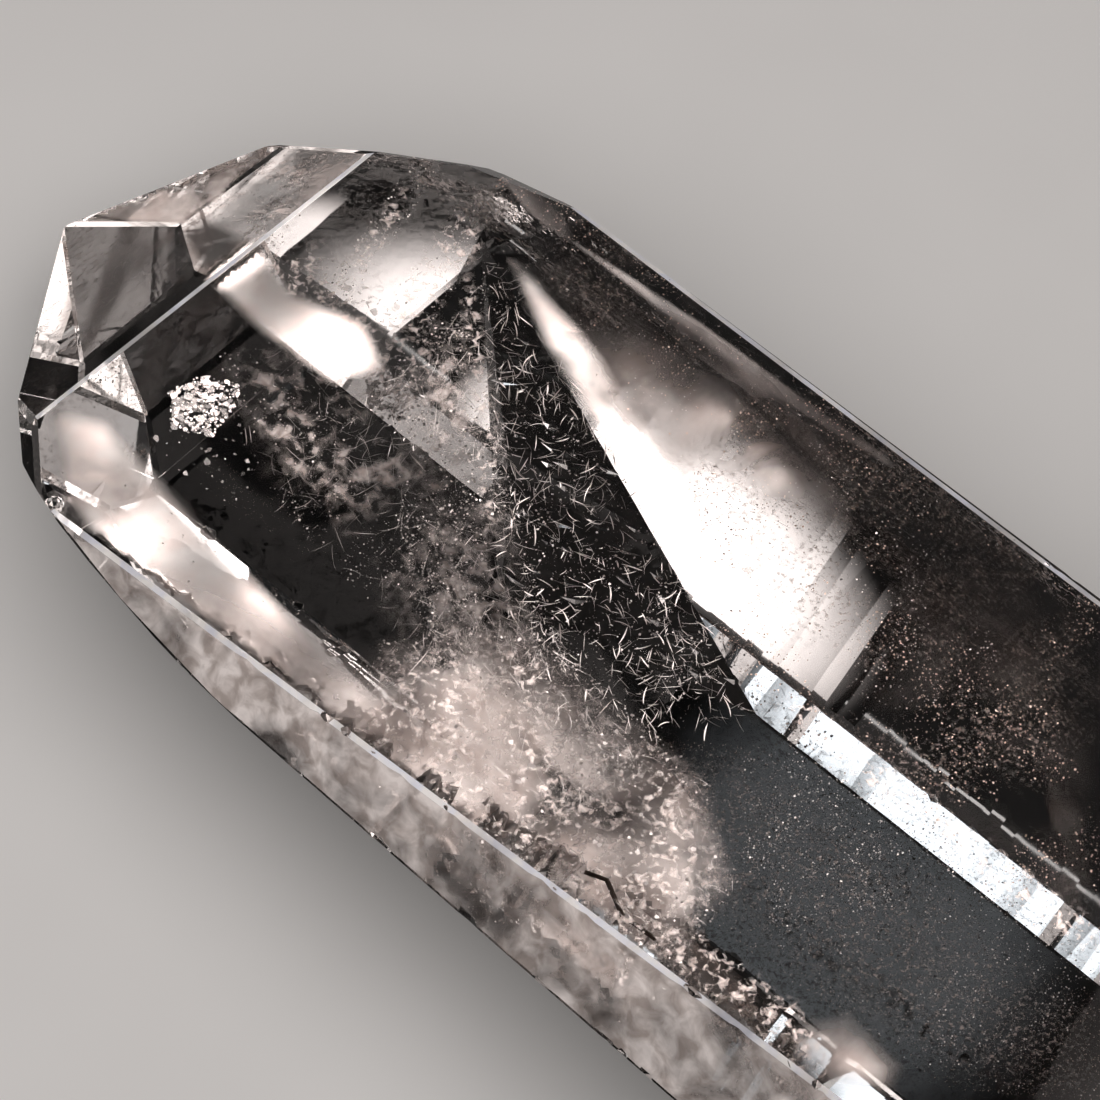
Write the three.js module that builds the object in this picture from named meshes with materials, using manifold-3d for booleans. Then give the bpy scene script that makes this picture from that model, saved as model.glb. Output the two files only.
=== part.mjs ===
// A lemurian quartz point: one natural crystal, lying on its narrow back face.
// Millimetres, +Z up. The long axis runs along X with the point at +X.
import * as THREE from 'three';
import { mergeVertices } from 'three/addons/utils/BufferGeometryUtils.js';
import Module from 'manifold-3d';

const wasm = await Module();
wasm.setup();

// Driving dimensions. The crystal is measured in its own frame: the point is
// the origin, the long axis is X, and "turn" goes round that axis from +Z to +Y.
// "lean" tips a face towards the point, in degrees. "out" is the face's distance
// from the point, measured square to the face.
const LENGTH = 97;
const TIP_FACE_ANGLE = 51.8; // between the long axis and the square of a tip face
const REST_FACE = 'back';

const PRISM_FACES = {
  front: { turn: 0, lean: 4.6, out: 6.35 },
  lowerFront: { turn: 58, lean: 1.2, out: 13.8 },
  lowerBack: { turn: 121.3, lean: 0.3, out: 7.75 },
  back: { turn: 180, lean: 2, out: 5.05 },
  upperBack: { turn: 238.9, lean: 1.9, out: 4.05 },
  upperFront: { turn: 300, lean: 1.4, out: 12.05 },
};

const TIP_FACES = {
  tipFront: { turn: -1, lean: 1, out: 0 },
  tipLowerFront: { turn: 55, lean: 1.2, out: 4.1 },
  tipLowerBack: { turn: 119.2, lean: 4.4, out: 0.05 },
  tipBack: { turn: 180, lean: 6.5, out: -0.1 },
  tipUpperBack: { turn: 239.6, lean: 0.3, out: 0 },
  tipUpperFront: { turn: 305.3, lean: 9.8, out: 4.05 },
};

// Small faces that round the lower edge off where it nears the point.
const HEEL_FACES = {
  heelTip: { turn: 104.2, lean: 18.3, out: 5.5 },
  heelMiddle: { turn: 111.6, lean: 10.9, out: 6 },
  heelEnd: { turn: 113.6, lean: 5.9, out: 7.16 },
};

// The growth notch: a bare, etched slope that a neighbouring crystal left along
// the edge between the back face and the upper back face, and its short end wall.
const NOTCH_SLOPE = { turn: 221.5, lean: 11.8, out: -0.87 };
const NOTCH_WALL = { turn: 96, lean: 44.9, out: -15.85 };
const NOTCH_CORNERS = { top: [-14.6, -7.6], end: [-33.9, 2], wall: [-23.6, 4.3] };
const NOTCH_SCALES = { count: 66, long: [0.4, 1.3], wide: [0.1, 0.26], deep: [0.03, 0.08] };

const EDGE_WEAR = [0.03, 0.09];
const CORNER_NICK = 0.45;

// The ladder of growth rungs straight across the side faces: faint towards the
// point, and stepped towards the foot.
const RUNGS = {
  faint: { step: [1.5, 3.6], wide: [0.4, 1], deep: [0.004, 0.008] },
  fine: { step: [1.6, 4.4], wide: [0.2, 0.6], deep: [0.02, 0.05] },
  stepped: { step: [1, 2.7], wide: [0.25, 0.8], deep: [0.03, 0.08] },
};
const LADDERS = [
  { face: 'upperBack', from: -19, to: -56, rungs: 'faint', seed: 11 },
  { face: 'upperBack', from: -57, to: -93, rungs: 'stepped', seed: 12 },
  { face: 'lowerBack', from: -14, to: -56, rungs: 'faint', seed: 23 },
  { face: 'lowerBack', from: -57, to: -93, rungs: 'stepped', seed: 24 },
  { face: 'lowerFront', from: -22, to: -93, rungs: 'fine', seed: 31 },
  { face: 'upperFront', from: -40, to: -93, rungs: 'fine', seed: 37 },
];
const RUNG_REACH = 90;

// Chips along the edges, with the stretch of the edge that they lie on.
const CHIPPED_EDGES = [
  { faces: ['back', 'upperBack'], from: -12.2, to: -91, count: 60, size: [0.1, 0.32], seed: 3 },
  { faces: ['back', 'lowerBack'], from: -12.2, to: -91, count: 46, size: [0.1, 0.34], seed: 5 },
  { faces: ['front', 'upperFront'], from: -16, to: -93, count: 30, size: [0.06, 0.2], seed: 7 },
  { faces: ['front', 'lowerFront'], from: -14, to: -93, count: 26, size: [0.08, 0.3], seed: 9 },
  { faces: ['lowerFront', 'lowerBack'], from: -14, to: -93, count: 34, size: [0.1, 0.4], seed: 13 },
  { faces: ['upperFront', 'upperBack'], from: -18, to: -93, count: 22, size: [0.08, 0.28], seed: 17 },
];

// The back face is a hair hollow between its ends, so the crystal rests on both of them.
const REST_HOLLOW = { from: -11, to: -92.5, deep: 0.06, wide: 40 };

const PIT = { at: [-12.3, 11.7, 7.1], radius: 0.38 };

const FOOT = { block: 40, square: 60, cells: 16, lean: 0.22, lump: 2.6 };

const radians = THREE.MathUtils.degToRad;

// A repeatable stream of numbers from 0 to 1.
function stream(seed) {
  let state = seed * 7919 + 17;
  return () => {
    state = (state * 16807) % 2147483647;
    return state / 2147483647;
  };
}

function between(range, random) {
  return range[0] + (range[1] - range[0]) * random();
}

// A plane from a face's turn, lean and out. Tip faces start from TIP_FACE_ANGLE.
function plane(face, fromAxis = 90) {
  const angle = radians(fromAxis === 90 ? 90 - face.lean : fromAxis + face.lean);
  const turn = radians(face.turn);
  const normal = new THREE.Vector3(
    Math.cos(angle),
    Math.sin(angle) * Math.sin(turn),
    Math.sin(angle) * Math.cos(turn),
  );
  return { normal, out: face.out };
}

const planes = {};
for (const [name, face] of Object.entries(PRISM_FACES)) planes[name] = plane(face);
for (const [name, face] of Object.entries(TIP_FACES)) planes[name] = plane(face, TIP_FACE_ANGLE);
for (const [name, face] of Object.entries(HEEL_FACES)) planes[name] = plane(face);
const FACE_NAMES = Object.keys(planes);
planes.notchSlope = plane(NOTCH_SLOPE);
planes.notchWall = plane(NOTCH_WALL);

// The point on the edge of two faces at a distance x along the long axis.
function onEdge(a, b, x) {
  const { normal: n, out: d } = planes[a];
  const { normal: m, out: e } = planes[b];
  const det = n.y * m.z - n.z * m.y;
  const p = d - n.x * x;
  const q = e - m.x * x;
  return new THREE.Vector3(x, (p * m.z - n.z * q) / det, (n.y * q - p * m.y) / det);
}

// The spot on a face at x along the axis and s sideways from under the axis.
function onFace(name, x, s) {
  const { normal, out } = planes[name];
  const side = new THREE.Vector3(1, 0, 0).cross(normal).normalize();
  const radial = new THREE.Vector3(0, normal.y, normal.z).normalize();
  const reach = (out - normal.x * x) / normal.dot(radial);
  return new THREE.Vector3(x, 0, 0).addScaledVector(radial, reach).addScaledVector(side, s);
}

function solid(geometry) {
  const bare = geometry.clone();
  bare.deleteAttribute('normal');
  bare.deleteAttribute('uv');
  const merged = mergeVertices(bare, 1e-5);
  return new wasm.Manifold(new wasm.Mesh({
    numProp: 3,
    vertProperties: new Float32Array(merged.attributes.position.array),
    triVerts: new Uint32Array(merged.index.array),
  }));
}

// A solid made from a geometry that is turned and moved into place.
function placed(geometry, centre, turn = new THREE.Quaternion()) {
  const copy = geometry.clone();
  copy.applyQuaternion(turn);
  copy.translate(centre.x, centre.y, centre.z);
  return solid(copy);
}

// All that lies outside a plane, as one large block.
function outside({ normal, out }) {
  const size = 400;
  const turn = new THREE.Quaternion().setFromUnitVectors(new THREE.Vector3(0, 0, 1), normal);
  const centre = normal.clone().multiplyScalar(out + size / 2);
  return placed(new THREE.BoxGeometry(size, size, size), centre, turn);
}

function join(parts) {
  return parts.reduce((all, part) => all.add(part));
}

// A stretched block, cut by every crystal face.
function growCrystal() {
  const rough = new THREE.BoxGeometry(LENGTH + 30, 60, 60);
  let body = placed(rough, new THREE.Vector3(-LENGTH / 2, 0, 0));
  for (const name of FACE_NAMES) body = body.subtract(outside(planes[name]));
  return body;
}

// Every edge is worn to a hair-wide flat.
function wearEdges(body) {
  const random = stream(41);
  FACE_NAMES.forEach((a, i) => FACE_NAMES.slice(i + 1).forEach((b) => {
    const sum = planes[a].normal.clone().add(planes[b].normal);
    if (sum.length() < 1.1) return;
    const edge = (planes[a].out + planes[b].out) / sum.length();
    const flat = { normal: sum.normalize(), out: edge - between(EDGE_WEAR, random) };
    body = body.subtract(outside(flat));
  }));
  return body;
}

// The corner where the upper front edge starts has lost a flake.
function nickCorner(body) {
  const corner = ['front', 'upperFront', 'tipUpperFront'].map((name) => planes[name]);
  const normal = new THREE.Vector3();
  corner.forEach((face) => normal.add(face.normal));
  const length = normal.length();
  const out = corner.reduce((sum, face) => sum + face.out, 0) / length - CORNER_NICK;
  return body.subtract(outside({ normal: normal.normalize(), out }));
}

function cutNotch(body) {
  const behindWall = outside({
    normal: planes.notchWall.normal.clone().negate(),
    out: -planes.notchWall.out,
  });
  return body.subtract(outside(planes.notchSlope).intersect(behindWall));
}

// The turn that lays a shape on a face: its X along the crystal, its Z out of the face.
function faceTurn(name) {
  const { normal } = planes[name];
  const side = new THREE.Vector3(1, 0, 0).cross(normal).normalize();
  const along = new THREE.Vector3().crossVectors(side, normal).normalize();
  const basis = new THREE.Matrix4().makeBasis(along, side, normal);
  return new THREE.Quaternion().setFromRotationMatrix(basis);
}

// A long, flat diamond lies on a face and leaves a shallow scratch with soft ends.
function scratch(name, x, s, { wide, deep, long }, slant) {
  const turn = faceTurn(name);
  turn.multiply(new THREE.Quaternion().setFromAxisAngle(new THREE.Vector3(0, 0, 1), slant));
  const shape = new THREE.OctahedronGeometry(1).scale(wide, long / 2, deep);
  return placed(shape, onFace(name, x, s), turn);
}

function hollowRestFace(body) {
  const { from, to, deep, wide } = REST_HOLLOW;
  const shape = new THREE.BoxGeometry(from - to, wide, 2 * deep);
  const middle = onFace(REST_FACE, (from + to) / 2, 0);
  return body.subtract(placed(shape, middle, faceTurn(REST_FACE)));
}

function cutLadders(body) {
  const tools = [];
  for (const { face, from, to, rungs, seed } of LADDERS) {
    const { step, wide, deep } = RUNGS[rungs];
    const random = stream(seed);
    for (let x = from; x > to; x -= between(step, random)) {
      const rung = { wide: between(wide, random), deep: between(deep, random), long: RUNG_REACH };
      tools.push(scratch(face, x, 0, rung, 0));
    }
  }
  return body.subtract(join(tools));
}

// Crescent scales, etched into the bare slope of the notch.
function etchNotch(body) {
  const random = stream(53);
  const tools = [];
  const { top, end, wall } = NOTCH_CORNERS;
  for (let i = 0; i < NOTCH_SCALES.count; i += 1) {
    const down = Math.sqrt(random());
    const across = random() * down;
    const [x, s] = [0, 1].map((axis) => top[axis] * (1 - down)
      + end[axis] * (down - across) + wall[axis] * across);
    const cut = {
      wide: between(NOTCH_SCALES.wide, random),
      deep: between(NOTCH_SCALES.deep, random),
      long: between(NOTCH_SCALES.long, random),
    };
    tools.push(scratch('notchSlope', x, s, cut, 0.9 + random() * 0.7));
  }
  return body.subtract(join(tools));
}

// Small shell-shaped chips, bitten out along an edge.
function chipEdges(body) {
  const bites = [];
  for (const { faces: [a, b], from, to, count, size, seed } of CHIPPED_EDGES) {
    const random = stream(seed);
    const outward = planes[a].normal.clone().add(planes[b].normal).normalize();
    for (let i = 0; i < count; i += 1) {
      const radius = between(size, random);
      const shape = new THREE.IcosahedronGeometry(radius, 0);
      shape.scale(1 + 1.6 * random(), 1, 1);
      const spin = new THREE.Euler(random() * 6, (random() - 0.5) * 0.8, (random() - 0.5) * 0.8);
      const centre = onEdge(a, b, from + (to - from) * random());
      centre.addScaledVector(outward, radius * (0.2 + 0.5 * random()));
      bites.push(placed(shape, centre, new THREE.Quaternion().setFromEuler(spin)));
    }
  }
  return body.subtract(join(bites));
}

function sinkPit(body) {
  const shape = new THREE.IcosahedronGeometry(PIT.radius, 1);
  return body.subtract(placed(shape, new THREE.Vector3(...PIT.at)));
}

// The foot broke off its rock: shallow shells with ridges between them.
function breakFoot(body) {
  const shape = new THREE.BoxGeometry(
    FOOT.block, FOOT.square, FOOT.square, 1, FOOT.cells, FOOT.cells,
  );
  const position = shape.attributes.position;
  for (let i = 0; i < position.count; i += 1) {
    if (position.getX(i) < 0) continue;
    const y = position.getY(i);
    const z = position.getZ(i);
    const shells = Math.abs(Math.sin(0.23 * y + 0.31 * z + 0.6))
      + 0.6 * Math.abs(Math.sin(0.37 * y - 0.19 * z));
    const grain = 0.25 * Math.sin(1.7 * y + 0.4) * Math.sin(1.3 * z);
    position.setX(i, FOOT.block / 2 - FOOT.lump * shells + FOOT.lean * z + grain);
  }
  const centre = new THREE.Vector3(-LENGTH - FOOT.block / 2 + FOOT.lump, 0, 0);
  return body.subtract(placed(shape, centre));
}

function toGeometry(body) {
  const mesh = body.getMesh();
  const geometry = new THREE.BufferGeometry();
  geometry.setAttribute('position', new THREE.BufferAttribute(mesh.vertProperties, 3));
  geometry.setIndex(new THREE.BufferAttribute(mesh.triVerts, 1));
  geometry.computeVertexNormals();
  return geometry;
}

function makeCrystal() {
  const shaping = [
    wearEdges, nickCorner, hollowRestFace, cutNotch, cutLadders, etchNotch, chipEdges, sinkPit, breakFoot,
  ];
  const body = shaping.reduce((stone, step) => step(stone), growCrystal());
  const quartz = new THREE.MeshStandardMaterial({
    color: 0xf3ebe6,
    roughness: 0.04,
    metalness: 0,
    transparent: true,
    opacity: 0.35,
  });
  const mesh = new THREE.Mesh(toGeometry(body), quartz);
  mesh.name = 'quartz_point';
  return mesh;
}

// The crystal lies down on its back face, centred over the origin.
function layDown(mesh) {
  mesh.rotation.y = radians(PRISM_FACES[REST_FACE].lean);
  mesh.updateMatrixWorld(true);
  const box = new THREE.Box3().setFromObject(mesh, true);
  const middle = box.getCenter(new THREE.Vector3());
  mesh.position.set(-middle.x, -middle.y, -box.min.z);
  return mesh;
}

const group = new THREE.Group();
group.add(layDown(makeCrystal()));

export default group;
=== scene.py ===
import math
import random

import bpy
from mathutils import Matrix, Vector, noise
from mathutils.bvhtree import BVHTree


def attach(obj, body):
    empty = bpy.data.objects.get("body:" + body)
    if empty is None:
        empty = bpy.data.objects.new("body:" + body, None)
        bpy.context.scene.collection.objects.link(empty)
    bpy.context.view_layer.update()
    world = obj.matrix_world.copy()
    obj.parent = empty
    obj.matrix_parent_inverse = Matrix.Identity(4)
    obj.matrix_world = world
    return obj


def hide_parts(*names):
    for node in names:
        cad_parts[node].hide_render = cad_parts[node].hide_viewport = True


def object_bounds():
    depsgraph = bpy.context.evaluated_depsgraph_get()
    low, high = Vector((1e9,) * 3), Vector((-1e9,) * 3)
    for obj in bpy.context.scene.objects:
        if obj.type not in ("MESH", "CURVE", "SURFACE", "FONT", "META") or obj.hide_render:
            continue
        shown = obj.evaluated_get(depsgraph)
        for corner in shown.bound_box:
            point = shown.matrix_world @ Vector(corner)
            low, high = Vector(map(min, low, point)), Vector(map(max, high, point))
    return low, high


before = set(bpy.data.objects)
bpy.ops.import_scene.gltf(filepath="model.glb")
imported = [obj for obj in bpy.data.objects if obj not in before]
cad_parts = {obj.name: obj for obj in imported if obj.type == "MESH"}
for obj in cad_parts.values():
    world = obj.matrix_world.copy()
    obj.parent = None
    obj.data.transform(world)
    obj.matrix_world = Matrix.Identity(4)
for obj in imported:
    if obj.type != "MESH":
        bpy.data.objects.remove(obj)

MM = 0.001
CAD_BOX = [[float(c) for c in corner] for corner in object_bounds()]
cad_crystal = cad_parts["quartz_point"]

# The sharp point that the worn tip stands for, and the spot on the front face
# at the middle of the photograph
TIP_WEAR = 0.18 * MM
POINT = Vector((CAD_BOX[1][0] + TIP_WEAR, -0.735 * MM, 5.05 * MM))
VIEW_SPOT = POINT + Vector((-26.31, 1.54, 9.45)) * MM
VIEW_AZIMUTH = 221.07
VIEW_ELEVATION = 59.34
VIEW_ROLL = 3.35
VIEW_DISTANCE = 225 * MM
FRAME_WIDTH = 38.06 * MM
PHOTO_SIZE = 1100
SENSOR = 36.0
CLIP_START = 10 * MM

QUARTZ_IOR = 1.544

# The way that each clean crystal face looks
FRONT = Vector((0.1149, 0, 0.9934))
LOWER_FRONT = Vector((0.0394, 0.8479, 0.5287))
UPPER_FRONT = Vector((0.0419, -0.8658, 0.4987))
TIP_FRONT = Vector((0.632, -0.0139, 0.7748))

# Each worn edge lies between the front face and one other, and the film on it is partly wear and partly a
# painted highlight
WORN_AND_HIGHLIT_EDGES = {"tip_edge": TIP_FRONT, "lower_edge": LOWER_FRONT, "upper_edge": UPPER_FRONT}

# How nearly a triangle has to look the same way to be part of a face or of an edge,
# and how far a skin lies above it
FACE_LIKENESS = 0.97
EDGE_LIKENESS = 0.9993
FILM_LIFT = 0.015 * MM

# The broken foot is all that lies beyond this and looks away from the tip
FOOT_START = -37 * MM
FOOT_FACING = -0.35

# Corners in the copy of the CAD solid that lie closer than this are merged
WELD_GAP = 0.0001 * MM

# For a sight line, small ledges and what looks nearly as the front face does count as that face
LEDGE_AREA = 0.4 * MM * MM
NEARLY_FRONT = 0.9

# How close an inclusion comes to the crystal's near side and to its far side, and how far
# below the near side the search for the far one starts
NEAR_GAP = 0.1 * MM
FAR_GAP = 0.15 * MM
PAST_SKIN = 0.02 * MM

# A flat sheet inside the crystal that leans like this mirrors the key light to the view:
# seen through the front face, and through the tip's front face
GLINT = Vector((-0.16, -0.08, 0.98)).normalized()
TIP_GLINT = Vector((0.179, -0.124, 0.976)).normalized()

# How much deeper a sheet that leans so runs for each pixel to the right and down, in mm
LEAN = (0.0073, 0.0026)
LEVEL = (0, 0)

# Sheets: the length of their waves in pixels, where each seed cuts through the noise, their
# least depth in mm and the widest span of one face, beyond which a sheet is torn
WAVE = 120
WAVE_SLICE = 3.7
LEAST_DEPTH = 0.2
FACE_SPAN = 1.2 * MM

# Clumps: where each seed cuts through the noise, how softly they end, and the most throws
# for each inclusion
CLUMP_SLICE = 1.9
CLUMP_SOFTNESS = 0.6
TRIES = 30

# Shards: their corners, how far round the first one starts, and how uneven they are
SHARD_CORNERS = 5
SHARD_TURN = 6.28
SHARD_SKEW = 0.4
SHARD_REACH = (0.5, 1.0)

# Splinters: the steps in each, how coarse their clumps are in pixels, how much they bend at a
# step, how far they lean from the glint, how blunt their ends are, and the longest step that
# one may have to be kept
SPLINTER_STEPS = 5
SPLINTER_COARSE = 70
SPLINTER_BEND = 0.09
SPLINTER_SPREAD = 0.12
SPLINTER_BLUNT = 0.35
LONGEST_STEP = 0.8 * MM

# Tints of sheets, each from its darker to its lighter patches
PALE = ((0.8, 0.7, 0.66), (1, 0.93, 0.9))
CREAM = ((0.93, 0.85, 0.82), (1, 0.97, 0.95))
BROWN = ((0.6, 0.42, 0.36), (0.95, 0.85, 0.8))
DULL_BROWN = ((0.6, 0.45, 0.4), (0.95, 0.85, 0.8))
DARK_BROWN = ((0.5, 0.4, 0.36), (0.9, 0.8, 0.76))
ETCHED = ((0.5, 0.43, 0.4), (1, 0.92, 0.89))
# The edge films' tints: pale wear, with bluish patches that are painted glints
WORN_AND_GLINT = ((0.85, 0.86, 0.95), (1, 0.97, 0.95))
PAPER = ((0.78, 0.77, 0.76), (0.82, 0.81, 0.8))

PINK_LIGHT = (1.0, 0.9, 0.86)
COOL_LIGHT = (0.9, 0.95, 1.0)
ROOM_LIGHT = (1, 0.96, 0.94)

# The floor lies far enough below the crystal for thin cloths between them
FLOOR_SIZE = 1200 * MM
FLOOR_LEVEL = -0.3 * MM

# Black cloths, with the middle and size in mm and the slope in degrees
DARK_CLOTHS = [
    ("dark_cloth", (27, 21.5, -0.15), (70, 107), 0),
    ("dark_wall", (30, 75, 30), (70, 60), 90),
    ("dark_tip_cloth", (105, -25, -0.15), (85, 60), 0),
]

# How far the glowing cloths round the studio stand from the crystal, the cool one a little nearer
STUDIO_REACH = 350 * MM
COOL_REACH = 340 * MM

# The room light, a square
ROOM_REACH = 500 * MM
ROOM_SIZE = 500 * MM
ROOM_RADIANCE = 3.0

# How often light may pass or mirror inside the crystal
CRYSTAL_BOUNCES = 32

# Where the inclusions show in the photograph, as outlines in its pixels
OUTLINES = {
    "left_veil": [(215, 350), (330, 330), (470, 470), (500, 640), (400, 640), (330, 560), (250, 470)],
    "middle_veil": [
        (395, 360), (470, 300), (500, 420), (540, 600), (640, 760), (560, 800), (440, 700), (400, 540)],
    "milky_base": [
        (380, 640), (520, 620), (700, 770), (740, 880), (650, 1010), (560, 960), (420, 850), (330, 740)],
    "heel_band": [
        (45, 400), (110, 420), (200, 520), (400, 720), (420, 790), (330, 770), (180, 640), (60, 500)],
    "heel_haze": [
        (90, 520), (260, 600), (420, 680), (560, 860), (660, 1090), (520, 960), (330, 800), (200, 690)],
    "side_haze": [
        (480, 140), (600, 180), (1100, 560), (1100, 960), (930, 830), (760, 720), (640, 480), (540, 300)],
    "side_cloud": [
        (540, 300), (620, 330), (720, 350), (850, 470), (860, 540), (760, 520), (660, 480), (580, 390)],
    "side_sparks": [(840, 500), (960, 560), (1000, 660), (930, 760), (850, 740), (840, 620)],
    "side_ridge": [
        (505, 256), (522, 262), (600, 350), (690, 480), (730, 600), (690, 600), (620, 470), (545, 350)],
    "wedge": [
        (480, 250), (520, 300), (640, 490), (700, 620), (745, 720), (640, 730), (500, 640), (480, 480)],
    "wedge_ridge": [(462, 240), (482, 300), (500, 420), (505, 530), (478, 530), (470, 420), (458, 320)],
    "upper_patch": [(180, 240), (330, 230), (470, 330), (490, 440), (400, 420), (300, 350)],
    "tip_triangle": [(76, 222), (150, 178), (262, 150), (232, 186), (204, 226), (150, 224)],
    "upper_glow": [
        (172, 232), (206, 212), (252, 236), (296, 290), (368, 322), (392, 372), (330, 384), (258, 332),
        (212, 288)],
    "first_streak": [(412, 162), (440, 170), (345, 310), (318, 298)],
    "second_streak": [(470, 185), (520, 195), (420, 340), (372, 322)],
    "third_streak": [(300, 160), (318, 164), (250, 250), (232, 240)],
    "rest_felt": [(640, 740), (760, 745), (1100, 1000), (1100, 1100), (950, 1090), (760, 960), (660, 880)],
    "flake": [(168, 392), (200, 376), (240, 384), (236, 405), (212, 436), (172, 428)],
    "flake_trail": [(150, 430), (180, 430), (300, 370), (290, 390), (240, 510), (180, 480)],
    "end_strip": [(770, 740), (960, 860), (1100, 980), (1100, 1100), (940, 1090), (760, 930)],
    "edge_strip": [
        (770, 700), (802, 692), (898, 768), (1004, 850), (1100, 922), (1100, 968), (1004, 896), (860, 785)],
    "strip_edge": [
        (750, 706), (765, 712), (860, 782), (1004, 892), (1100, 965), (1100, 985), (1000, 912), (856, 802)],
    "low_mottle": [
        (600, 890), (700, 930), (800, 1000), (850, 1050), (820, 1095), (740, 1060), (670, 1000), (605, 940)],
    "low_glow": [(780, 1030), (850, 1010), (905, 1065), (890, 1099), (800, 1095)],
    "dust_cluster": [(740, 760), (800, 750), (905, 830), (900, 900), (800, 930), (740, 860)],
}
STREAKS = ("first_streak", "second_streak", "third_streak")

# The bent mineral rod: the pixels that it passes and its depth at each, in mm
ROD_PIXELS = [(585, 872), (607, 880), (622, 915), (640, 960)]
ROD_DEPTHS = (2.0, 1.9, 2.1, 2.3)
ROD_RADIUS = 0.09 * MM
ROD_SIDES = 8


def toward(azimuth, elevation):
    turn = math.radians(azimuth)
    rise = math.radians(elevation)
    flat = math.cos(rise)
    return Vector((math.sin(turn) * flat, -math.cos(turn) * flat, math.sin(rise)))


BACK = toward(VIEW_AZIMUTH, VIEW_ELEVATION)
VIEW_TURN = BACK.to_track_quat("Z", "Y") @ Matrix.Rotation(math.radians(VIEW_ROLL), 4, "Z").to_quaternion()
VIEW_RIGHT = VIEW_TURN @ Vector((1, 0, 0))
VIEW_UP = VIEW_TURN @ Vector((0, 1, 0))
VIEW_FROM = VIEW_SPOT + BACK * VIEW_DISTANCE


def add_camera():
    bpy.ops.object.camera_add(location=VIEW_FROM)
    camera = bpy.context.object
    camera.rotation_euler = VIEW_TURN.to_euler()
    camera.data.sensor_width = SENSOR
    camera.data.lens = SENSOR * VIEW_DISTANCE / FRAME_WIDTH
    camera.data.clip_start = CLIP_START
    bpy.context.scene.camera = camera


# The direction in which the camera looks through a pixel of the photograph
def photo_ray(pixel):
    right = (pixel[0] / PHOTO_SIZE - 0.5) * FRAME_WIDTH
    up = (0.5 - pixel[1] / PHOTO_SIZE) * FRAME_WIDTH
    return (VIEW_SPOT + VIEW_RIGHT * right + VIEW_UP * up - VIEW_FROM).normalized()


def refracted(ray, normal):
    slant = -ray.dot(normal)
    ratio = 1 / QUARTZ_IOR
    inner = math.sqrt(1 - ratio * ratio * (1 - slant * slant))
    return (ray * ratio + normal * (ratio * slant - inner)).normalized()


# Where the sight line through a pixel meets the crystal, how it runs on inside, and how far
def sight(pixel):
    ray = photo_ray(pixel)
    spot, normal, index, _ = skin.ray_cast(VIEW_FROM, ray)
    if spot is None:
        return None
    if normal.dot(FRONT) > NEARLY_FRONT or face_areas[index] < LEDGE_AREA:
        normal = FRONT
    inner = refracted(ray, normal)
    far, _, _, room = skin.ray_cast(spot + inner * PAST_SKIN, inner)
    if far is None:
        return None
    return spot, inner, room


# The spot at a depth inside the crystal that shows at a pixel of the photograph
def inside(pixel, depth):
    seen = sight(pixel)
    if seen is None:
        return None
    spot, inner, room = seen
    return spot + inner * min(depth, room - FAR_GAP)


# The spot of a flat sheet through the given middle that shows at a pixel
def on_sheet(pixel, middle, facing):
    seen = sight(pixel)
    if seen is None:
        return None
    spot, inner, room = seen
    depth = (middle - spot).dot(facing) / inner.dot(facing)
    return spot + inner * max(NEAR_GAP, min(depth, room - FAR_GAP))


def within(pixel, outline):
    x, y = pixel
    odd = False
    for (ax, ay), (bx, by) in zip(outline, outline[1:] + outline[:1]):
        if (ay > y) != (by > y) and x < ax + (y - ay) * (bx - ax) / (by - ay):
            odd = not odd
    return odd


# How far a pixel lies from the rim of an outline
def rim_distance(pixel, outline):
    best = math.inf
    spot = Vector(pixel)
    for a, b in zip(outline, outline[1:] + outline[:1]):
        start = Vector(a)
        edge = Vector(b) - start
        along = max(0, min(1, (spot - start).dot(edge) / edge.length_squared))
        best = min(best, (spot - start - edge * along).length)
    return best


def box_of(outline):
    xs = [x for x, y in outline]
    ys = [y for x, y in outline]
    return min(xs), min(ys), max(xs), max(ys)


def principled(name, **values):
    material = bpy.data.materials.new(name)
    material.use_nodes = True
    shader = material.node_tree.nodes["Principled BSDF"]
    for key, value in values.items():
        shader.inputs[key.replace("_", " ")].default_value = value
    return material, shader


def node(material, kind, **values):
    made = material.node_tree.nodes.new(kind)
    for key, value in values.items():
        setattr(made, key, value)
    return made


def link(material, source, target):
    material.node_tree.links.new(source, target)


def set_range(spread, reads, gives):
    for key, value in zip(("From Min", "From Max", "To Min", "To Max"), (*reads, *gives)):
        spread.inputs[key].default_value = value


# Noise over the piece's own coordinates, spread from the range read to the range given
def noise_value(material, scale, reads, gives, detail=3.0, distortion=0.0, stretch=(1, 1, 1)):
    where = node(material, "ShaderNodeTexCoord")
    mapping = node(material, "ShaderNodeMapping")
    mapping.inputs["Scale"].default_value = stretch
    link(material, where.outputs["Object"], mapping.inputs["Vector"])
    texture = node(material, "ShaderNodeTexNoise")
    texture.inputs["Scale"].default_value = scale
    texture.inputs["Detail"].default_value = detail
    texture.inputs["Distortion"].default_value = distortion
    link(material, mapping.outputs["Vector"], texture.inputs["Vector"])
    spread = node(material, "ShaderNodeMapRange")
    set_range(spread, reads, gives)
    link(material, texture.outputs["Fac"], spread.inputs["Value"])
    return spread.outputs["Result"]


def times(material, a, b):
    product = node(material, "ShaderNodeMath", operation="MULTIPLY")
    link(material, a, product.inputs[0])
    link(material, b, product.inputs[1])
    return product.outputs["Value"]


def tinted(material, shader, amount, tints):
    mix = node(material, "ShaderNodeMix", data_type="RGBA")
    link(material, amount, mix.inputs["Factor"])
    mix.inputs["A"].default_value = (*tints[0], 1)
    mix.inputs["B"].default_value = (*tints[1], 1)
    link(material, mix.outputs["Result"], shader.inputs["Base Color"])


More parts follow.
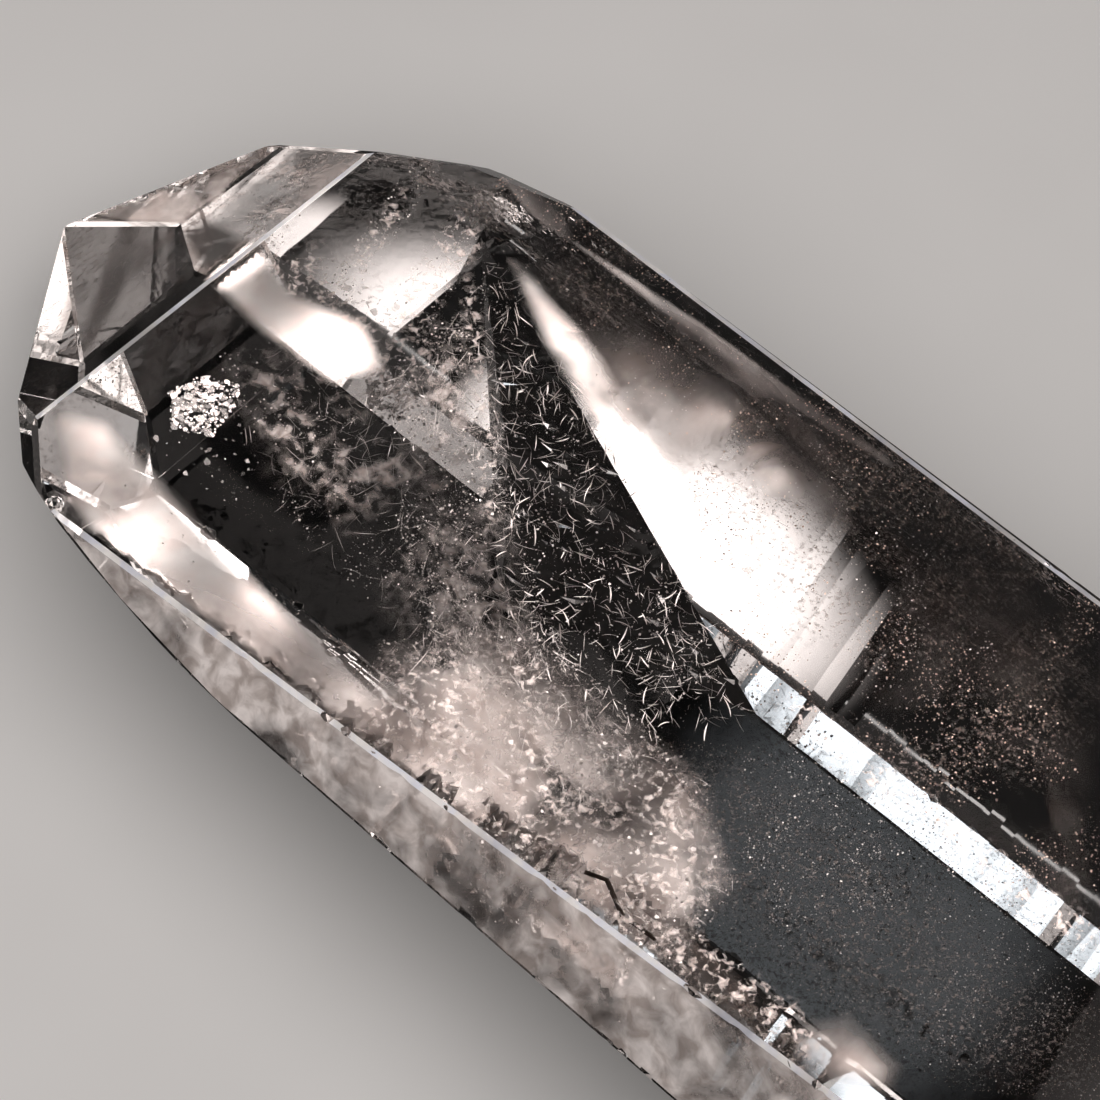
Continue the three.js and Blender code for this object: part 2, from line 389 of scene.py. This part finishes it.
# A faint relief, which a stretch along X turns into lines that run across the crystal
def grained(material, shader, scale, depth, stretch=(1, 1, 1)):
    height = noise_value(material, scale, (0.3, 0.7), (0, 1), detail=2, stretch=stretch)
    relief = node(material, "ShaderNodeBump")
    relief.inputs["Strength"].default_value = 1.0
    relief.inputs["Distance"].default_value = depth
    link(material, height, relief.inputs["Height"])
    link(material, relief.outputs["Normal"], shader.inputs["Normal"])


# Clean faces, with patches of very light frosting
def clear_quartz():
    material, shader = principled(
        "clear_quartz", Base_Color=(1, 1, 1, 1), Roughness=0.0, IOR=QUARTZ_IOR, Transmission_Weight=1.0)
    link(material, noise_value(material, 260, (0.45, 0.75), (0, 0.03)), shader.inputs["Roughness"])
    grained(material, shader, 120, 0.0004 * MM, stretch=(6, 1, 1))
    return material


# The rough break at the foot
def broken_quartz():
    material, shader = principled(
        "broken_quartz", Base_Color=(1, 0.97, 0.95, 1), Roughness=0.5, IOR=QUARTZ_IOR,
        Transmission_Weight=1.0)
    link(material, noise_value(material, 300, (0.35, 0.65), (0.3, 0.6), detail=4), shader.inputs["Roughness"])
    grained(material, shader, 420, 0.14 * MM)
    return material


# A dusty, etched skin that lies on a face and lets some of the light through; over the worn edges it is
# partly wear and partly a painted highlight
def film_material(name, reads, cover, tints):
    material, shader = principled(name, Roughness=0.7)
    patches = noise_value(material, 1100, (0.38, 0.62), (0, 1), detail=4, distortion=0.6)
    tinted(material, shader, patches, tints)
    opacity = noise_value(material, 330, reads, cover, detail=6, distortion=0.5)
    link(material, opacity, shader.inputs["Alpha"])
    return material


# A cloudy sheet that mirrors the light and fades out to its rim
def veil_material(name, scale, reads, cover, distortion, roughness=0.45, tints=PALE, patches=None):
    material, shader = principled(name, Metallic=1.0, Roughness=roughness)
    tinted(material, shader, noise_value(material, scale * 2, (0.4, 0.6), (0, 1)), tints)
    fade = node(material, "ShaderNodeAttribute", attribute_name="fade")
    cloud = noise_value(material, scale, reads, (0, cover), detail=5, distortion=distortion)
    opacity = times(material, cloud, fade.outputs["Fac"])
    if patches:
        clearings = noise_value(material, patches, (0.42, 0.6), (0, 1), distortion=0.4)
        opacity = times(material, opacity, clearings)
    link(material, opacity, shader.inputs["Alpha"])
    return material


def speck_material(name, color, roughness):
    material, shader = principled(name, Metallic=1.0, Roughness=roughness)
    dark = tuple(c * 0.8 for c in color)
    tinted(material, shader, noise_value(material, 3000, (0.35, 0.65), (0, 1)), (dark, color))
    return material


def add_piece(name, points, faces, material, fade=None):
    mesh = bpy.data.meshes.new(name)
    mesh.from_pydata(points, [], faces)
    mesh.update()
    if fade:
        layer = mesh.color_attributes.new("fade", "FLOAT_COLOR", "POINT")
        for item, value in zip(layer.data, fade):
            item.color = (value, value, value, 1)
    piece = bpy.data.objects.new(name, mesh)
    bpy.context.collection.objects.link(piece)
    mesh.materials.append(material)
    for face in mesh.polygons:
        face.use_smooth = fade is not None
    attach(piece, "root")
    print(name, len(faces), "faces")


# A skin a hair above the crystal's triangles that look the given way
def add_film(name, facing, likeness, material):
    points, faces = [], []
    for face in quartz.data.polygons:
        if face.normal.dot(facing) < likeness:
            continue
        start = len(points)
        points += [skin_points[i] + face.normal * FILM_LIFT for i in face.vertices]
        faces.append(list(range(start, len(points))))
    add_piece(name, points, faces, material)


# A thin sheet inside the crystal that shows inside an outline of the photograph. It follows
# the given lean with waves of the ripple's height in mm, or is flat where a facing is given.
# Soft is the width in pixels over which it fades out, and step the pixels between its points.
def add_veil(name, material, depth, seed, outline=None, ripple=0, lean=LEAN, soft=45, step=9, facing=None):
    outline = OUTLINES[outline or name]
    left, top, right, bottom = box_of(outline)
    middle = ((left + right) / 2, (top + bottom) / 2)
    anchor = inside(middle, depth * MM)
    points, fade, index = [], [], {}
    columns = int((right - left) / step) + 1
    rows = int((bottom - top) / step) + 1
    for row in range(rows + 1):
        for column in range(columns + 1):
            pixel = (left + column * step, top + row * step)
            wave = noise.noise(Vector((pixel[0] / WAVE, pixel[1] / WAVE, seed * WAVE_SLICE)))
            tilt = lean[0] * (pixel[0] - middle[0]) + lean[1] * (pixel[1] - middle[1])
            if facing is None:
                spot = inside(pixel, max(LEAST_DEPTH, depth + tilt + ripple * wave) * MM)
            else:
                spot = on_sheet(pixel, anchor, facing)
            if spot is None:
                continue
            index[(row, column)] = len(points)
            points.append(spot)
            near = rim_distance(pixel, outline) if within(pixel, outline) else 0
            fade.append(min(1, near / soft))
    faces = []
    for row, column in index:
        corners = [(row, column), (row + 1, column), (row + 1, column + 1), (row, column + 1)]
        if all(c in index for c in corners):
            face = [index[c] for c in corners]
            a, b, c, d = (points[i] for i in face)
            span = max((a - c).length, (b - d).length)
            if max(fade[i] for i in face) > 0 and span < FACE_SPAN:
                faces.append(face)
    add_piece(name, points, faces, material, fade)


# Whether a clump of inclusions takes in a pixel
def clumped(pixel, chance, coarse, clump, seed):
    density = noise.noise(Vector((pixel[0] / coarse, pixel[1] / coarse, seed * CLUMP_SLICE))) * 0.5 + 0.5
    return density > clump + chance.random() * (1 - clump) * CLUMP_SOFTNESS


def strewn(direction, chance, spread):
    throw = Vector((chance.gauss(0, 1), chance.gauss(0, 1), chance.gauss(0, 1)))
    return (direction + throw * spread).normalized()


# A size from a range in mm, more often small than large
def mostly_small(low, high, chance):
    return low * (high / low) ** (chance.random() ** 2) * MM


# Flat shards scattered behind an outline of the photograph, clumped by noise. Size and depth
# are ranges in mm, and spread is how far the shards lean from the glint.
def scatter(name, outline, material, count, size, depth, seed, clump=0.0, coarse=60, spread=0.25):
    chance = random.Random(seed)
    outline = OUTLINES[outline]
    left, top, right, bottom = box_of(outline)
    points, faces = [], []
    tries = 0
    while len(faces) < count and tries < count * TRIES:
        tries += 1
        pixel = (chance.uniform(left, right), chance.uniform(top, bottom))
        if not within(pixel, outline) or not clumped(pixel, chance, coarse, clump, seed):
            continue
        spot = inside(pixel, chance.uniform(*depth) * MM)
        if spot is None:
            continue
        normal = strewn(GLINT, chance, spread)
        side = normal.orthogonal().normalized()
        across = normal.cross(side)
        radius = mostly_small(*size, chance)
        turn = chance.uniform(0, SHARD_TURN)
        start = len(points)
        for k in range(SHARD_CORNERS):
            angle = turn + k * 2 * math.pi / SHARD_CORNERS + chance.uniform(-SHARD_SKEW, SHARD_SKEW)
            reach = radius * chance.uniform(*SHARD_REACH)
            points.append(spot + (side * math.cos(angle) + across * math.sin(angle)) * reach)
        faces.append(list(range(start, start + SHARD_CORNERS)))
    add_piece(name, points, faces, material)


# The route of a splinter behind a pixel, that starts off with a turn and bends at each step
def splinter_route(pixel, turn, bend, step, depth):
    route = []
    x, y = pixel
    for _ in range(SPLINTER_STEPS + 1):
        lean = LEAN[0] * (x - pixel[0]) + LEAN[1] * (y - pixel[1])
        route.append(inside((x, y), (depth + lean) * MM))
        x += math.cos(turn) * step
        y += math.sin(turn) * step
        turn += bend
    return route


# Thin splinters behind an outline, each a flat ribbon that runs to a point at both ends.
# Length is in pixels, width and depth in mm, heading and swing in degrees.
def add_splinters(name, outline, material, count, length, width, depth, heading, swing, seed, clump):
    chance = random.Random(seed)
    outline = OUTLINES[outline]
    left, top, right, bottom = box_of(outline)
    points, faces = [], []
    made, tries = 0, 0
    while made < count and tries < count * TRIES:
        tries += 1
        pixel = (chance.uniform(left, right), chance.uniform(top, bottom))
        if not within(pixel, outline) or not clumped(pixel, chance, SPLINTER_COARSE, clump, seed):
            continue
        turn = math.radians(heading + chance.gauss(0, swing))
        bend = chance.gauss(0, SPLINTER_BEND)
        step = chance.uniform(*length) / SPLINTER_STEPS
        route = splinter_route(pixel, turn, bend, step, chance.uniform(*depth))
        if None in route or max((a - b).length for a, b in zip(route, route[1:])) > LONGEST_STEP:
            continue
        made += 1
        normal = strewn(GLINT, chance, SPLINTER_SPREAD)
        half = mostly_small(*width, chance) / 2
        start = len(points)
        for k, spot in enumerate(route):
            along = route[min(k + 1, SPLINTER_STEPS)] - route[max(k - 1, 0)]
            taper = math.sin(math.pi * (k + SPLINTER_BLUNT) / (SPLINTER_STEPS + 2 * SPLINTER_BLUNT))
            side = normal.cross(along).normalized() * half * taper
            points += [spot + side, spot - side]
        for k in range(SPLINTER_STEPS):
            a = start + 2 * k
            faces.append([a, a + 1, a + 3, a + 2])
    add_piece(name, points, faces, material)


# A copy of the CAD solid with its doubles merged
def merged_copy():
    bpy.ops.object.select_all(action="DESELECT")
    cad_crystal.select_set(True)
    bpy.context.view_layer.objects.active = cad_crystal
    bpy.ops.object.duplicate()
    piece = bpy.context.object
    piece.name = "crystal"
    bpy.ops.mesh.customdata_custom_splitnormals_clear()
    bpy.ops.object.mode_set(mode="EDIT")
    bpy.ops.mesh.select_all(action="SELECT")
    bpy.ops.mesh.remove_doubles(threshold=WELD_GAP)
    bpy.ops.mesh.faces_shade_flat()
    bpy.ops.object.mode_set(mode="OBJECT")
    bpy.ops.object.shade_flat()
    return piece


def make_crystal():
    piece = merged_copy()
    piece.data.materials.clear()
    for material in (clear_quartz(), broken_quartz()):
        piece.data.materials.append(material)
    for face in piece.data.polygons:
        if face.normal.x < FOOT_FACING and face.center.x < FOOT_START:
            face.material_index = 1
            face.use_smooth = True
    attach(piece, "root")
    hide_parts("quartz_point")
    print("crystal", len(piece.data.polygons), "triangles")
    return piece


def add_veils():
    veil = veil_material("white_veil", 1800, (0.45, 0.7), 0.75, 0.4, roughness=0.36, patches=260)
    milk = veil_material("milky_quartz", 260, (0.28, 0.6), 0.8, 0.8, roughness=0.4)
    grain = veil_material("milky_grain", 3200, (0.5, 0.68), 0.9, 0.6, roughness=0.34)
    # A bright milky sheet; in the heel band it is a painted reflection of the key light
    heel = veil_material("heel_sheet_and_reflection", 300, (0.25, 0.5), 0.95, 0.6, roughness=0.25, tints=CREAM)
    dust = veil_material("brown_dust", 5200, (0.5, 0.7), 0.7, 0.3, tints=BROWN, patches=200)
    haze = veil_material("brown_haze", 260, (0.42, 0.75), 0.2, 0.5, tints=DULL_BROWN)
    felt = veil_material("rest_felt", 6500, (0.5, 0.7), 0.6, 0.5, tints=DARK_BROWN)
    add_veil("left_veil", veil, depth=3.0, ripple=0.5, seed=1)
    add_veil("middle_veil", veil, depth=3.5, ripple=0.6, seed=2)
    add_veil("middle_veil_low", veil, depth=6.0, ripple=0.6, seed=3, outline="middle_veil")
    add_veil("milky_upper", grain, depth=2.6, ripple=0.4, seed=4, outline="milky_base")
    add_veil("milky_middle", milk, depth=4.0, ripple=0.4, seed=14, outline="milky_base")
    add_veil("milky_lower", grain, depth=5.5, ripple=0.4, seed=5, outline="milky_base")
    # The heel band is a painted reflection: a sheet put where the crystal shows a bright reflection of the
    # light
    add_veil("heel_band", heel, depth=2.2, ripple=0.25, seed=10, soft=16, step=7)
    add_veil("heel_haze", milk, depth=2.5, ripple=0.3, seed=6)
    add_veil("side_haze", haze, depth=5.0, ripple=0.8, seed=7)
    add_veil("side_cloud", milk, depth=3.6, ripple=0.5, seed=17)
    add_veil("side_ridge", heel, depth=3.2, ripple=0.2, seed=20, soft=14, step=6)
    add_veil("side_dust_low", dust, depth=7.0, ripple=0.8, seed=8, outline="side_haze")
    add_veil("upper_patch", grain, depth=4.0, ripple=0.5, seed=9)
    add_veil("tip_triangle", milk, depth=0.7, seed=38, soft=4, step=4, facing=TIP_GLINT)
    add_veil("upper_glow", heel, depth=2.4, ripple=0.2, seed=39, soft=12, step=6)
    for k, streak in enumerate(STREAKS):
        add_veil(streak, grain, depth=3.0, ripple=0.1, seed=40 + k, soft=10, step=5)
    add_veil("wedge_ridge", grain, depth=4.0, ripple=0.3, seed=18, soft=12, step=6)
    add_veil("strip_grain", grain, depth=4.5, ripple=0.1, seed=44, outline="edge_strip", soft=8, step=7)
    add_veil("low_mottle", grain, depth=2.4, ripple=0.3, seed=45, soft=14, step=7)
    add_veil("low_glow", milk, depth=2.4, ripple=0.5, seed=46, soft=34, step=7)
    add_veil("rest_felt", felt, depth=9.0, seed=19, lean=LEVEL)


# The etched skin over the lower front face
def add_etched_side():
    etched = film_material("etched_skin", (0.36, 0.62), (0.12, 0.88), ETCHED)
    add_film("etched_side", LOWER_FRONT, FACE_LIKENESS, etched)


# Whitish films over the worn edges: partly wear, partly a painted highlight along each edge with painted blue
# glints
def add_edge_wear_and_highlights():
    wear_and_highlight = film_material("edge_wear_and_highlight", (0.35, 0.6), (0.5, 1.0), WORN_AND_GLINT)
    for name, facing in WORN_AND_HIGHLIT_EDGES.items():
        add_film(name, (FRONT + facing).normalized(), EDGE_LIKENESS, wear_and_highlight)


def add_flakes():
    flake = speck_material("white_flake", (1, 0.97, 0.96), 0.25)
    scatter("white_flake", "flake", flake, 420, size=(0.05, 0.24), depth=(4.4, 5.0), seed=21, spread=0.06)
    scatter("small_flakes", "flake_trail", flake, 60, size=(0.04, 0.2), depth=(3.5, 5.5), seed=22,
            spread=0.15)


# A bent, round-sided rod of dark mineral
def add_mineral_rod():
    dark = speck_material("dark_mineral", (0.16, 0.12, 0.1), 0.6)
    line = [inside(pixel, depth * MM) for pixel, depth in zip(ROD_PIXELS, ROD_DEPTHS)]
    points, faces = [], []
    for k, spot in enumerate(line):
        along = (line[min(k + 1, len(line) - 1)] - line[max(k - 1, 0)]).normalized()
        side = along.orthogonal().normalized()
        across = along.cross(side)
        for j in range(ROD_SIDES):
            angle = 2 * math.pi * j / ROD_SIDES
            points.append(spot + (side * math.cos(angle) + across * math.sin(angle)) * ROD_RADIUS)
    for k in range(len(line) - 1):
        for j in range(ROD_SIDES):
            a = k * ROD_SIDES + j
            b = k * ROD_SIDES + (j + 1) % ROD_SIDES
            faces.append([a, b, b + ROD_SIDES, a + ROD_SIDES])
    first_end = list(range(ROD_SIDES))[::-1]
    last_end = list(range(len(points) - ROD_SIDES, len(points)))
    faces += [first_end, last_end]
    add_piece("mineral_rod", points, faces, dark)


def add_specks(white):
    warm = speck_material("warm_specks", (1, 0.8, 0.7), 0.33)
    for k, streak in enumerate(STREAKS):
        scatter(streak + "_specks", streak, white, 260, (0.015, 0.06), (2.4, 3.6), seed=50 + k, spread=0.15)
    scatter("left_specks", "left_veil", white, 1200, (0.012, 0.07), (1.5, 6), seed=11, clump=0.3)
    scatter("middle_specks", "middle_veil", white, 3600, (0.012, 0.08), (1.5, 7), seed=12, clump=0.35)
    scatter("milky_specks", "milky_base", white, 2600, (0.015, 0.1), (1, 7), seed=13, clump=0.2)
    scatter("milky_blobs", "milky_base", white, 90, (0.06, 0.2), (1, 3), seed=29, clump=0.2, spread=0.1)
    scatter("heel_specks", "heel_band", white, 500, (0.01, 0.06), (1, 4), seed=23, clump=0.3)
    scatter("side_specks", "side_haze", warm, 5000, (0.01, 0.065), (2, 9), seed=14, clump=0.42, coarse=55,
            spread=0.15)
    scatter("side_sparks", "side_sparks", white, 500, (0.015, 0.06), (2, 8), seed=24, clump=0.4, coarse=40)
    scatter("side_flecks", "side_cloud", white, 700, (0.01, 0.05), (2, 6), seed=26, clump=0.4, coarse=40)
    scatter("wedge_specks", "wedge", white, 1800, (0.012, 0.08), (4, 10), seed=15, clump=0.3, spread=0.5)
    scatter("end_specks", "end_strip", white, 1600, (0.01, 0.05), (4, 11), seed=16, clump=0.3)
    scatter("strip_sparks", "strip_edge", white, 420, (0.012, 0.06), (3, 6), seed=27, spread=0.15)
    scatter("rest_grain", "rest_felt", warm, 5000, (0.008, 0.022), (7, 11), seed=28, clump=0.15, coarse=90,
            spread=0.3)
    scatter("dust_cluster", "dust_cluster", white, 900, (0.012, 0.06), (4, 9), seed=25, clump=0.35, coarse=30,
            spread=0.2)


def add_all_splinters(white):
    add_splinters("wedge_strokes", "wedge", white, 800, length=(5, 22), width=(0.008, 0.06), depth=(4, 9),
                  heading=55, swing=60, seed=31, clump=0.2)
    add_splinters("left_strokes", "left_veil", white, 220, length=(6, 30), width=(0.004, 0.014), depth=(2, 5),
                  heading=20, swing=60, seed=32, clump=0.35)
    add_splinters("middle_strokes", "middle_veil", white, 900, length=(6, 30), width=(0.005, 0.02),
                  depth=(2, 6), heading=60, swing=45, seed=33, clump=0.3)
    add_splinters("milky_strokes", "milky_base", white, 320, length=(4, 16), width=(0.006, 0.022),
                  depth=(1.5, 5), heading=40, swing=60, seed=34, clump=0.3)


def add_floor():
    bpy.ops.mesh.primitive_plane_add(size=FLOOR_SIZE, location=(0, 0, FLOOR_LEVEL))
    floor = bpy.context.object
    floor.name = "floor"
    material, shader = principled("floor_paper", Roughness=0.9)
    tinted(material, shader, noise_value(material, 60, (0.3, 0.7), (0, 1)), PAPER)
    floor.data.materials.append(material)


# The camera and the floor don't see such a cloth and it throws no shadow: only the crystal meets it
def hide_cloth(cloth):
    cloth.visible_camera = False
    cloth.visible_shadow = False
    cloth.visible_diffuse = False


def add_dark_cloths():
    material, _ = principled("dark_felt", Base_Color=(0.01, 0.01, 0.01, 1), Roughness=1.0)
    for name, middle, size, slope in DARK_CLOTHS:
        bpy.ops.mesh.primitive_plane_add(
            size=1, location=Vector(middle) * MM, rotation=(math.radians(slope), 0, 0))
        cloth = bpy.context.object
        cloth.name = name
        cloth.scale = (size[0] * MM, size[1] * MM, 1)
        cloth.data.materials.append(material)
        hide_cloth(cloth)


# A glowing cloth, bright in its core and fading to its rim. It stands off from a spot, or lies
# on it, and its size is in mm.
def glow_cloth(name, spot, direction, distance, size, radiance, core, color=PINK_LIGHT):
    bpy.ops.mesh.primitive_plane_add(
        size=1, location=spot + direction * distance, rotation=direction.to_track_quat("Z", "Y").to_euler())
    cloth = bpy.context.object
    cloth.name = name
    cloth.scale = (size[0] * MM, size[1] * MM, 1)
    material, shader = principled(
        name + "_cloth", Base_Color=(0, 0, 0, 1), Roughness=1.0, Emission_Color=(*color, 1))
    where = node(material, "ShaderNodeTexCoord")
    middle = node(material, "ShaderNodeVectorMath", operation="SUBTRACT")
    middle.inputs[1].default_value = (0.5, 0.5, 0)
    link(material, where.outputs["UV"], middle.inputs[0])
    reach = node(material, "ShaderNodeVectorMath", operation="LENGTH")
    link(material, middle.outputs["Vector"], reach.inputs[0])
    fall = node(material, "ShaderNodeMapRange", interpolation_type="SMOOTHSTEP")
    set_range(fall, (core * 0.5, 0.5), (radiance, 0))
    link(material, reach.outputs["Value"], fall.inputs["Value"])
    link(material, fall.outputs["Result"], shader.inputs["Emission Strength"])
    cloth.data.materials.append(material)
    hide_cloth(cloth)


# Glowing cloths round the studio, all facing the spot that the camera looks at
def add_studio_cloths():
    glow_cloth("overhead", VIEW_SPOT, toward(350, 76), STUDIO_REACH, (360, 360), 0.42, core=0.6)
    glow_cloth("key", VIEW_SPOT, toward(345, 42), STUDIO_REACH, (280, 200), 6.0, core=0.5)
    glow_cloth("hot_edge", VIEW_SPOT, toward(21, 66), STUDIO_REACH, (45, 45), 0.8, core=0.5)
    glow_cloth("cool_spot", VIEW_SPOT, toward(13.5, 66), COOL_REACH, (45, 45), 1.5, core=0.5,
               color=COOL_LIGHT)
    glow_cloth("viewer_side", VIEW_SPOT, toward(250, 22), STUDIO_REACH, (400, 240), 0.9, core=0.6)
    glow_cloth("point_side", VIEW_SPOT, toward(118, 16), STUDIO_REACH, (400, 240), 0.7, core=0.6)


# Small glowing cloths close to the crystal: under its foot a painted pool of the light that the crystal lets
# through onto the floor, behind the foot, and low at its far side
def add_near_cloths():
    pool = Vector((-30, 0, -0.1)) * MM
    foot = Vector((-50, 0, 18)) * MM
    side = Vector((30.5, 30, 0.8)) * MM
    upper = Vector((40.3, 30, 0.8)) * MM
    patch = Vector((6.5, 30, 8.5)) * MM
    away = toward(180, 2)
    # A painted pool of the light that the crystal lets through onto the floor
    glow_cloth("light_pool", pool, Vector((0, 0, 1)), 0, (60, 40), 0.5, core=0.4)
    glow_cloth("low", foot, toward(270, 0), 14 * MM, (90, 36), 2.0, core=0.7)
    glow_cloth("side", side, away, 4 * MM, (21, 11.5), 1.7, core=0.45)
    glow_cloth("side_upper", upper, away, 4.5 * MM, (6, 6), 1.1, core=0.4)
    glow_cloth("side_patch", patch, away, 4 * MM, (9, 4.5), 1.5, core=0.3, color=COOL_LIGHT)


# The light that falls on the floor and on the crystal's skins, and that nothing mirrors
def add_room_light():
    direction = toward(215, 70)
    bpy.ops.object.light_add(type="AREA", location=VIEW_SPOT + direction * ROOM_REACH)
    light = bpy.context.object
    light.name = "room"
    light.rotation_euler = direction.to_track_quat("Z", "Y").to_euler()
    light.data.shape = "SQUARE"
    light.data.size = ROOM_SIZE
    light.data.energy = ROOM_RADIANCE * math.pi * ROOM_SIZE * ROOM_SIZE
    light.data.color = ROOM_LIGHT
    light.visible_camera = False
    light.visible_glossy = False
    light.visible_transmission = False


def set_studio():
    world = bpy.data.worlds.new("studio")
    bpy.context.scene.world = world
    world.use_nodes = True
    background = world.node_tree.nodes["Background"]
    background.inputs["Color"].default_value = (0.012, 0.012, 0.012, 1)
    background.inputs["Strength"].default_value = 1.0
    scene = bpy.context.scene
    scene.cycles.caustics_refractive = False
    scene.cycles.caustics_reflective = True
    scene.cycles.max_bounces = CRYSTAL_BOUNCES
    scene.cycles.diffuse_bounces = 2
    scene.cycles.transmission_bounces = CRYSTAL_BOUNCES
    scene.cycles.glossy_bounces = CRYSTAL_BOUNCES
    scene.cycles.transparent_max_bounces = CRYSTAL_BOUNCES
    scene.view_settings.view_transform = "Standard"


add_camera()
quartz = make_crystal()
skin_points = [quartz.matrix_world @ v.co for v in quartz.data.vertices]
skin = BVHTree.FromPolygons(skin_points, [list(f.vertices) for f in quartz.data.polygons])
face_areas = [f.area for f in quartz.data.polygons]
add_etched_side()
add_veils()
add_edge_wear_and_highlights()
add_flakes()
add_mineral_rod()
white_specks = speck_material("white_specks", (1, 0.95, 0.93), 0.3)
add_specks(white_specks)
add_all_splinters(white_specks)
add_floor()
add_dark_cloths()
add_studio_cloths()
add_near_cloths()
add_room_light()
set_studio()
